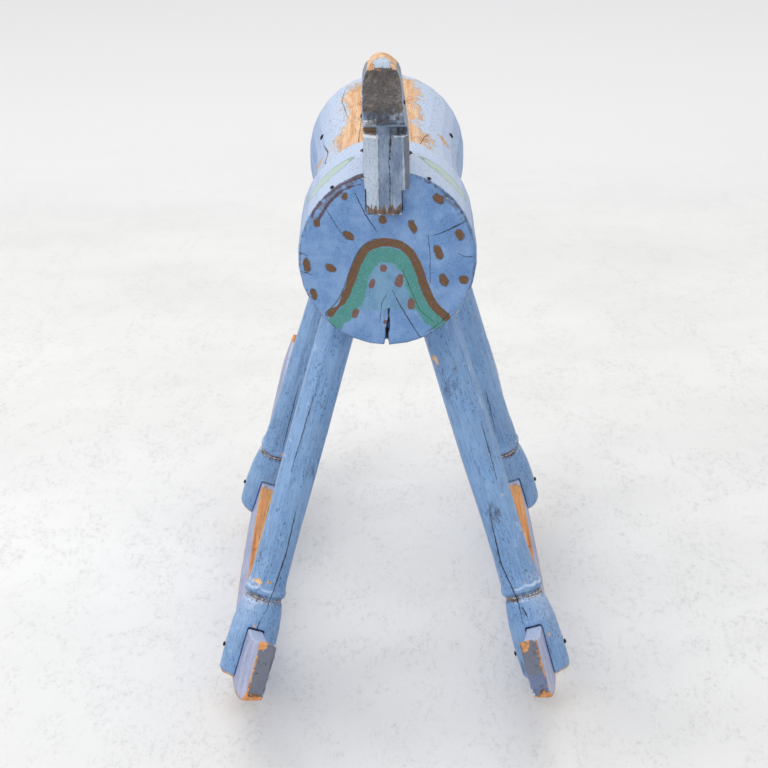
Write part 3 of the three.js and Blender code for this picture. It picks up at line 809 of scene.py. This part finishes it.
def mark_mouth(marks, points, frontal, wander):
    """Painted white highlights on the lips' edges above and below the mouth, and painted shade in the hollow
    under the jaw, brown on the right and dark on the left.
    """
    x, y, z = points.T
    # Painted highlights along the lips' edges.
    upper_lip_highlight = 3.6 - np.abs(z - LIP_Z - 0.10 * (x + 21)) + 0.9 * wander
    marks.add("lip_highlight", upper_lip_highlight, frontal & (x < -8) & (z > 590))
    marks.add("lip_highlight", 1.3 - np.abs(z - 573.5) + 0.6 * wander, frontal & (x < -9))
    marks.add("lip_highlight", 0.7 - np.abs(z - 574.5) + 0.5 * wander, frontal & (x > 7))
    # Painted shade in the hollow under the jaw.
    jaw_shade = 7 - np.abs(z - NOTCH_Z) + wander
    marks.add("old_brown", jaw_shade, (x < -9) & (z < NOTCH_Z + 7) & (z > NOTCH_Z - 7) & (y < -228))
    marks.add("grime_and_shade", jaw_shade + 1.5 * wander, frontal & (x > 3) & (z < 600) & (z > 576))


def dress_neck(marks, points, frontal, wander):
    """The neck's facets, its chipped foot, and the dots and splits down its front."""
    x, y, z = points.T
    # The broad right-hand facet is painted paler as lit, and the narrow left-hand one darker as painted
    # shade; a painted highlight runs along the left-hand facet's edge, and a thin darker line along the
    # inner edge of the right-hand one.
    marks.add("lit_facet", np.minimum(-7.5 - x, 3) + 0.8 * wander, frontal & (z < NECK_TOP))
    marks.add("shaded_facet", np.minimum(x - 16.5, 3), frontal & (z < NECK_TOP + 1))
    edge = 0.7 - np.abs(x - 16.0 + 0.03 * (z - 540)) + 0.5 * wander
    marks.add("rubbed_and_lit", edge, frontal & (z < NECK_TOP + 1))
    marks.add("shaded_facet", 0.5 - np.abs(x + 7.0) + wander, frontal & (z < NECK_TOP - 5))
    foot = layered(points, 2.6, 97, 3, (1, 1, 3))
    marks.add("old_brown", (505 - z) * 0.5 + 4.5 * foot, frontal)
    marks.add("grime_and_shade", 1.5 - np.abs(z - 501) * 0.4 + 5 * foot - 1.2, frontal)
    marks.add("old_brown", 0.3 - np.abs(z - 531 + 0.1 * x) + 1.2 * wander, frontal & (x < -9))
    for height in (566, 560, 553, 545, 538, 529, 521, 513):
        dot = 1 - np.hypot((x - 3.2 - 0.5 * math.sin(height)) / 0.9, (z - height) / 1.5)
        marks.add("grime_and_shade", dot * 4 + 0.5 * wander - 0.3, frontal)
    split = [(3.2, 572), (3.4, 560), (2.6, 550), (3.2, 530), (3.0, 508)]
    marks.crack(x, z, split, 0.2, frontal & (z < NECK_TOP), 0.1)
    marks.crack(x, z, [(4.4, 577), (3.8, 570), (3.2, 563)], 1.0, frontal & (z < NECK_TOP + 1), 0.5)


def dress_head(points, normals, ridge):
    x, y, z = points.T
    marks = Marks(len(points))
    frontal = normals[:, 1] < -0.25
    wander = layered(points, 7, 91, 3)
    wear_crown(marks, points, wander)
    blacken_face(marks, points, frontal, wander)
    mark_mouth(marks, points, frontal, wander)
    dress_neck(marks, points, frontal, wander)
    marks.add("bare", ridge * 10 - 6)
    # Pale on convex edges: worn paint, and painted highlight.
    marks.add("rubbed_and_lit", ridge * 14 - 4)
    # Painted shade in hollows and creases, deeper the more concave the surface.
    marks.add("grime_and_shade", -ridge * 8 - 3.5)
    # Upward faces are painted paler: sun bleaching, and painted top light.
    marks.values["faded_and_toplit"] = 0.7 * smooth(normals[:, 2], 0.2, 0.9) - 0.3
    marks.crack(y, z, [(-180, 560), (-200, 590), (-214, 620)], 0.4, np.abs(normals[:, 0]) > 0.7)
    return marks, np.stack([z, x, y], 1)


# ---- legs


def leg_frame(leg):
    """Where a leg's axis starts and the three directions of its own frame."""
    foot = np.array([leg["foot_x"], leg["foot_y"], HOOF_Z])
    top = np.array([leg["top_x"], leg["top_y"], LEG_TOP_Z])
    axis = top - foot
    sole = foot + axis * (SOLE_Z - HOOF_Z) / axis[2]
    axis = axis / np.linalg.norm(axis)
    across = np.cross(axis, [0, 1, 0])
    across /= np.linalg.norm(across)
    return sole, axis, across, np.cross(axis, across)


SHAFT_FLAT, FETLOCK_S = 18.2, 82.5      # mm from a leg's axis to a flat, and from its sole to the groove


def leg_tools(name, leg, seed):
    """How one leg is shaped and dressed. Its own axes start at its sole."""
    sole, axis, across, third = leg_frame(leg)

    def local(points):
        offset = points - sole
        return np.stack([offset @ axis, offset @ across, offset @ third], 1)

    def shape(points, normals):
        q = local(points)
        s, radius = q[:, 0], np.hypot(q[:, 1], q[:, 2])
        angle = np.arctan2(q[:, 2], q[:, 1])
        # Flats left by the drawknife, each a little off the round.
        sides = 9
        cut = np.zeros(len(q))
        for k in range(sides):
            offset = 0.35 * hashed(np.array([k]), np.array([seed]), np.array([1]), 7)[0]
            facing = 2 * math.pi * (k + offset) / sides
            track = np.stack([s, np.full(len(s), 40.0 * k), np.full(len(s), 9.0 * seed)], 1)
            flat = SHAFT_FLAT - 0.9 * noise(track, 70, 31)
            # The flats stop above the hoof.
            flat = flat + 9 * (1 - smooth(s, 78, 96))
            towards = np.cos(angle - facing)
            over = radius * towards - flat
            cut = np.maximum(cut, np.where(towards > 0.6, np.maximum(0, over), 0))
        outward = np.abs(normals @ axis) < 0.5
        rough = 0.3 * np.maximum(0, layered(q, 7, 41 + seed, 3, (5, 1, 1)))
        move = np.where(outward & (radius > 14), np.minimum(cut, 1.6), 0) + rough
        return points - normals * move[:, None]

    def dress(points, normals, ridge):
        q = local(points)
        s = q[:, 0]
        around = np.degrees(np.arctan2(q[:, 2], q[:, 1]))
        marks = Marks(len(points))
        wander = layered(q, 8, 101 + seed, 3)
        # The fetlock groove is dirty, and its ridge is rubbed.
        ring = np.abs(s - FETLOCK_S - 0.8 * np.sin(np.radians(around) * 2 + seed))
        marks.add("slate", 2.0 - ring + 1.4 * wander)
        marks.add("rubbed_and_lit", 0.7 - ring + 0.8 * wander)
        marks.add("grime_and_shade", 0.9 - np.abs(ring - 3.2) + 1.2 * wander)
        marks.add("old_brown", 1.8 - ring + 4.5 * wander - 0.2)
        marks.add("bare", 1.2 - np.abs(s - 90) + 4.0 * wander - 4.0)
        marks.add("bare", 2.5 - s + 1.5 * wander)
        marks.add("bare", ridge * 13 - 7.5)
        # Pale on convex edges: worn paint, and painted highlight.
        marks.add("rubbed_and_lit", ridge * 13 - 10)
        # Painted shade in hollows and creases, deeper the more concave the surface.
        marks.add("grime_and_shade", -ridge * 7 - 4)
        smudge = layered(points, 13, 141 + seed, 3, (1, 1, 3))
        marks.add("grime_and_shade", 5.5 * smudge - 3.2)
        # Upward faces are painted paler: sun bleaching, and painted top light, with some random pale
        # patches.
        marks.values["faded_and_toplit"] = 0.9 * smooth(normals[:, 2], 0.1, 0.9) - 0.15 + 0.3 * (wander > 0.5)
        front = points[:, 1] < (sole + np.outer(s, axis))[:, 1]
        sideways = (points - sole - np.outer(s, axis))[:, 0]
        for path, half in LEG_SPLITS[name]:
            marks.crack(sideways, s, path, half, front & (s > 20), 0.3)
        for place, height, wide, tall in LEG_CHIPS[name]:
            island = 1 - np.hypot((sideways - place) / wide, (s - height) / tall)
            marks.add("bare", island * wide + 1.8 * wander - 0.4, front)
        return marks, q

    return shape, dress


# ---- rockers


WORN_FRONT, WORN_REAR = -208, 186       # arc lengths between which the top edge is worn to the wood


def rocker_tools(rocker, seed):
    """How one rocker is shaped and dressed, by where a point is along, up and into its board."""
    lean = math.radians(rocker["lean"])
    side = rocker["side"]
    turn = Matrix.Rotation(side * rocker["toe_in"], 3, "Z") @ Matrix.Rotation(-side * lean, 3, "Y")
    turn = np.array(turn)
    origin = np.array([side * rocker["outer_x"], 0, 0])
    first, last = (math.asin((rocker[end] - ROCKER_LOWEST_Y) / ROCKER_RADIUS) * ROCKER_RADIUS
                   for end in ("front", "rear"))

    def local(points):
        """Arc length along the board, height above its running edge, and depth in from its outer face."""
        q = (points - origin) @ turn
        rise = ROCKER_RADIUS - q[:, 2] * math.cos(lean)
        along = q[:, 1] - ROCKER_LOWEST_Y
        height = ROCKER_RADIUS - np.hypot(along, rise)
        arc = np.arctan2(along, rise) * ROCKER_RADIUS
        return np.stack([arc, height, -side * q[:, 0]], 1)

    def shape(points, normals):
        q = local(points)
        rough = 0.3 * np.maximum(0, layered(q, 8, 61 + seed, 3, (5, 1, 1)))
        return points - normals * rough[:, None]

    def dress(points, normals, ridge):
        q = local(points)
        arc, height, depth = q.T
        marks = Marks(len(points))
        wander = layered(q, 9, 111 + seed, 3, (2, 1, 1))
        rough = layered(q, 5, 121 + seed, 3)
        marks.add("bare", ridge * 10 - 8.5 + 3 * rough)
        # Pale on convex edges: worn paint, and painted highlight.
        marks.add("rubbed_and_lit", ridge * 12 - 6.0 + 3 * wander)
        top = height - (ROCKER_HEIGHT - 2.0)
        between = np.minimum(arc - WORN_FRONT, WORN_REAR - arc)
        marks.add("bare", np.minimum(np.minimum(top * 4, between * 0.3), 5) + 2 * wander)
        for end in (first, last):
            inwards = np.abs(arc - end)
            tip = 2.5 - inwards
            marks.add("slate", np.minimum(tip, 3) + 0.5 * wander)
            marks.add("grime_and_shade", 6 * rough - 2.0, inwards < 3)
            marks.add("deep", np.minimum(tip, 3) - smooth(height, 14, 34) * 5 + 2 * wander, side > 0)
            # The lower corner is scuffed to the wood, and so is part of the top corner.
            low = np.minimum(4.5 - height * 0.8, (22 - inwards) * 0.4)
            marks.add("bare", np.minimum(low, 3) + 3.2 * rough)
            marks.add("old_brown", np.minimum(9 - height, 8 - inwards) * 0.6 + 3.5 * rough - 1)
            reach = np.hypot(inwards * 0.5, (ROCKER_HEIGHT - height) * 0.75)
            chip_depth = 2 if side < 0 else 12
            top_corner = 7.5 - np.hypot(reach, 1.4 * (depth - chip_depth))
            marks.add("bare", np.minimum(top_corner, 3) * 0.9 + 2.8 * rough)
            strip = 0.8 - np.abs(depth - 0.3) - 0.06 * inwards
            marks.add("bare", strip + 2.6 * rough, inwards < 6)
        # Painted shade in hollows and creases, deeper the more concave the surface.
        marks.add("grime_and_shade", -ridge * 8 - 3)
        running = 2.5 - height
        marks.add("bare", np.minimum(running, 2) + 3 * wander - 1)
        # Upward faces are painted paler: sun bleaching, and painted top light.
        marks.values["faded_and_toplit"] = 0.8 * smooth(normals[:, 2], 0.2, 0.95) - 0.2
        return marks, q

    return shape, dress


# ---- small fittings


def dress_plain(points, normals, ridge):
    marks = Marks(len(points))
    marks.add("bare", ridge * 14 - 4)
    # Painted shade in hollows and creases, deeper the more concave the surface.
    marks.add("grime_and_shade", -ridge * 8 - 3)
    return marks, np.stack([points[:, 1], points[:, 0], points[:, 2]], 1)


# ---- making it all

OLD_BROWN = ("old_brown", OLD_WOOD, PAINT_BROWN_PALE, 1.2, 0.95)
body_paint = painted_wood(
    "body_paint", BODY_BLUES, soft_wear=1.1, flecks=0.75,
    layers=[("tint", PAINT_GREEN_PALE, PAINT_GREEN_PALE, 0.6, 0.35),
            ("green", PAINT_GREEN, PAINT_GREEN_PALE, 1.6, 0.95),
            ("brown", PAINT_BROWN, PAINT_BROWN_PALE, 0.6, 1.0),
            ("spot_edge", PAINT_OLIVE, PAINT_BROWN, 0.5, 0.8),
            ("red", PAINT_RED, PAINT_RED_PALE, 0.6, 0.9),
            # The leaf layer's pale green includes painted glare.
            ("leaf", LEAF_GLARE_PALE, LEAF_GLARE_PALE, 0.4, 0.9),
            ("leaf_edge", LEAF_OUTLINE, LEAF_GLARE_PALE, 0.7, 0.8),
            ("smoke", SLATE, NECK_BLUE, 1.8, 0.75),
            ("plum", PLUM, SLATE, 1.2, 0.9)])
head_paint = painted_wood(
    "head_paint", (NECK_BLUE, NECK_BLUE_PALE, NECK_BLUE_DEEP), specks=1.6,
    # The first two layers are painted light and painted shade on the neck's facets.
    layers=[("lit_facet", RUBBED_AND_LIT_PALE, NECK_BLUE_PALE, 1.0, 0.7),
            ("shaded_facet", SLATE, OLD_WOOD, 0.8, 0.8),
            ("pale_patch", RUBBED_AND_LIT_PALE, NECK_BLUE_PALE, 1.5, 0.75),
            ("brown_stain", STAIN_BROWN, OLD_WOOD, 2.0, 0.9),
            # The lips' layer is a painted highlight.
            ("lip_highlight", LIP_HIGHLIGHT, RUBBED_AND_LIT_PALE, 0.8, 1.0), OLD_BROWN])
leg_paint = painted_wood(
    "leg_paint", LEG_BLUES, specks=1.3, streaks=1.0, clouds=0.35, flecks=0.9,
    layers=[("slate", SLATE, NECK_BLUE, 1.0, 0.7), OLD_BROWN])
rocker_paint = painted_wood(
    "rocker_paint", ROCKER_BLUES, tones=RAW_TONES,
    layers=[("slate", SLATE, SLATE_BLUE, 0.8, 0.95), ("deep", SLATE_BLUE, DEEP_BLUE, 1.2, 0.9), OLD_BROWN])
peg_wood = painted_wood("peg_wood", BODY_BLUES)
iron = old_iron("iron")

carved("log_body", 1.3, 3, shape_log, dress_log, body_paint)
carved("head_board", 0.9, 3, shape_head, dress_head, head_paint)
for seed, (name, leg) in enumerate(LEGS.items()):
    shape, dress = leg_tools(name, leg, seed)
    carved("leg_" + name, 1.1, 3, shape, dress, leg_paint)
for seed, (name, rocker) in enumerate(ROCKERS.items()):
    shape, dress = rocker_tools(rocker, seed)
    carved("rocker_" + name, 1.4, 3, shape, dress, rocker_paint)
carved("tail_peg", 0.6, 3, None, dress_plain, peg_wood)
fittings = [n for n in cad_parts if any(w in n for w in ("nail", "tack", "rivet"))]
for node in sorted(fittings):
    carved(node, 0.35, 2, None, dress_plain, iron)

# ---- stage, light and camera

# The stage and its lights are in metres, with sizes of lights in metres and their power in watts.
FLOOR_HALF_WIDTH, FLOOR_NEAR, FLOOR_FAR, SWEEP_RADIUS, WALL_TOP = 10.0, -10.0, 9.0, 2.0, 7.0
FLOOR_GREY, FLOOR_PALE, FLOOR_FAR_WHITE = srgb(226, 226, 225), srgb(236, 236, 235), srgb(240, 240, 242)
# The near grey is painted shade on the front of the floor.
FLOOR_SCUFF, FLOOR_STREAK, FLOOR_NEAR_SHADE = srgb(218, 218, 218), srgb(214, 214, 214), srgb(224, 224, 223)
FLOOR_GRIT, FLOOR_SCRATCH = srgb(202, 202, 201), srgb(246, 246, 246)


def floor_material():
    """Pale studio floor, mottled and scratched near the horse and plain further back, with painted shade
    darkening it towards the front.
    """
    s = Shader("stage_floor")
    place = s.node("ShaderNodeTexCoord", output=3)
    forward = s.node("ShaderNodeSeparateXYZ", {"Vector": place}, output=1)
    cloud = s.noise(s.scaled(place, 0.5, 0.35), 5.0, 0.6)
    scuff = s.noise(s.scaled(place, 0.06, 0.14), 6.0, 0.75, 1.5)
    streak = s.noise(s.scaled(place, 0.03, 0.10), 5.0, 0.75, 1.0)
    colour = s.mix(s.step(cloud, 0.3, 0.7), FLOOR_GREY, FLOOR_PALE)
    colour = s.glaze(colour, scuff, 0.5, 0.75, 0.5, FLOOR_SCUFF)
    colour = s.glaze(colour, streak, 0.55, 0.75, 0.35, FLOOR_STREAK)
    # Painted shade: the floor darkens towards the front.
    colour = s.glaze(colour, forward, 0.05, -0.4, 0.8, FLOOR_NEAR_SHADE)
    colour = s.mix(s.math("MULTIPLY", s.step(forward, 2.4, 1.2), 0.85), FLOOR_FAR_WHITE, colour)
    grit = s.noise(s.scaled(place, 0.006, 0.015), 6.0, 0.85)
    worn = s.math("MULTIPLY", s.step(grit, 0.48, 0.62), s.step(forward, 2.2, 0.0))
    worn = s.math("MULTIPLY", worn, s.step(scuff, 0.42, 0.6))
    colour = s.mix(s.math("MULTIPLY", worn, 0.7), colour, FLOOR_GRIT)
    # A scratch runs where this wide noise crosses its middle value.
    scratch = s.noise(s.scaled(place, 1.4, 0.5), 1.0, 0.3)
    scratch = s.math("ABSOLUTE", s.math("SUBTRACT", scratch, 0.5))
    seen = s.math("MULTIPLY", s.step(scuff, 0.5, 0.62), s.step(forward, 1.2, 0.2))
    seen = s.math("MULTIPLY", seen, 0.5)
    colour = s.glaze(colour, scratch, 0.0016, 0.0003, seen, FLOOR_SCRATCH)
    s.feed(s.surface.inputs["Base Color"], colour)
    s.surface.inputs["Roughness"].default_value = 0.75
    return s.material


def cyclorama():
    """Floor and backdrop in one sheet, joined by a wide curve."""
    section = [(FLOOR_NEAR, 0.0)]
    section += [(y, 0.0) for y in np.linspace(FLOOR_NEAR + 0.5, FLOOR_FAR, 12)]
    curve_steps = 12
    for k in range(1, curve_steps + 1):
        a = k / curve_steps * math.pi / 2
        section.append((FLOOR_FAR + SWEEP_RADIUS * math.sin(a), SWEEP_RADIUS * (1 - math.cos(a))))
    section.append((FLOOR_FAR + SWEEP_RADIUS, WALL_TOP))
    vertices = [(x, y, z) for x in (-FLOOR_HALF_WIDTH, FLOOR_HALF_WIDTH) for y, z in section]
    n = len(section)
    faces = [(k, k + 1, n + k + 1, n + k) for k in range(n - 1)]
    mesh = bpy.data.meshes.new("stage_floor")
    mesh.from_pydata(vertices, [], faces)
    mesh.update()
    floor = bpy.data.objects.new("stage_floor", mesh)
    bpy.context.scene.collection.objects.link(floor)
    mesh.shade_smooth()
    mesh.materials.append(floor_material())


def area_light(name, position, target, size, power):
    data = bpy.data.lights.new(name, "AREA")
    data.shape = "RECTANGLE"
    data.size, data.size_y = size
    data.energy = power
    lamp = bpy.data.objects.new(name, data)
    lamp.location = position
    lamp.rotation_mode = "QUATERNION"
    lamp.rotation_quaternion = (Vector(target) - Vector(position)).to_track_quat("-Z", "Y")
    bpy.context.scene.collection.objects.link(lamp)


cyclorama()
area_light("softbox_above", (-0.5, -0.2, 3.2), (0, 0, 0.3), (3.6, 3.4), 42)
area_light("softbox_left", (-2.6, -1.6, 2.0), (0, 0, 0.35), (1.4, 1.4), 24)
area_light("softbox_front", (1.0, -3.4, 1.8), (0, 0, 0.4), (1.4, 1.4), 9)
area_light("softbox_far_floor", (0, 3.2, 3.4), (0, 3.4, 0), (5.0, 1.6), 16)

world = bpy.data.worlds.new("studio")
bpy.context.scene.world = world
world.use_nodes = True
background = world.node_tree.nodes["Background"]
background.inputs["Color"].default_value = (1.0, 0.995, 0.985, 1.0)
background.inputs["Strength"].default_value = 0.74

CAMERA_AT = (2.929, -2389.42, 1095.757)
CAMERA_PITCH, CAMERA_YAW = math.radians(19.49555), math.radians(-0.20401)
CAMERA_ROLL = math.radians(-0.71246)
CAMERA_LENS, CAMERA_SENSOR = 112.5, 36.0


def make_camera():
    sy, cy = math.sin(CAMERA_YAW), math.cos(CAMERA_YAW)
    sp, cp = math.sin(CAMERA_PITCH), math.cos(CAMERA_PITCH)
    forward = Vector((sy * cp, cy * cp, -sp))
    level = Vector((cy, -sy, 0))
    above = level.cross(forward)
    right = math.cos(CAMERA_ROLL) * level + math.sin(CAMERA_ROLL) * above
    up = -math.sin(CAMERA_ROLL) * level + math.cos(CAMERA_ROLL) * above
    data = bpy.data.cameras.new("camera")
    data.lens, data.sensor_width = CAMERA_LENS, CAMERA_SENSOR
    data.clip_end = 100
    camera = bpy.data.objects.new("camera", data)
    turn = Matrix((right, up, -forward)).transposed().to_4x4()
    camera.matrix_world = Matrix.Translation(Vector(CAMERA_AT) * MM) @ turn
    bpy.context.scene.collection.objects.link(camera)
    bpy.context.scene.camera = camera


make_camera()
bpy.context.scene.view_settings.view_transform = "Standard"
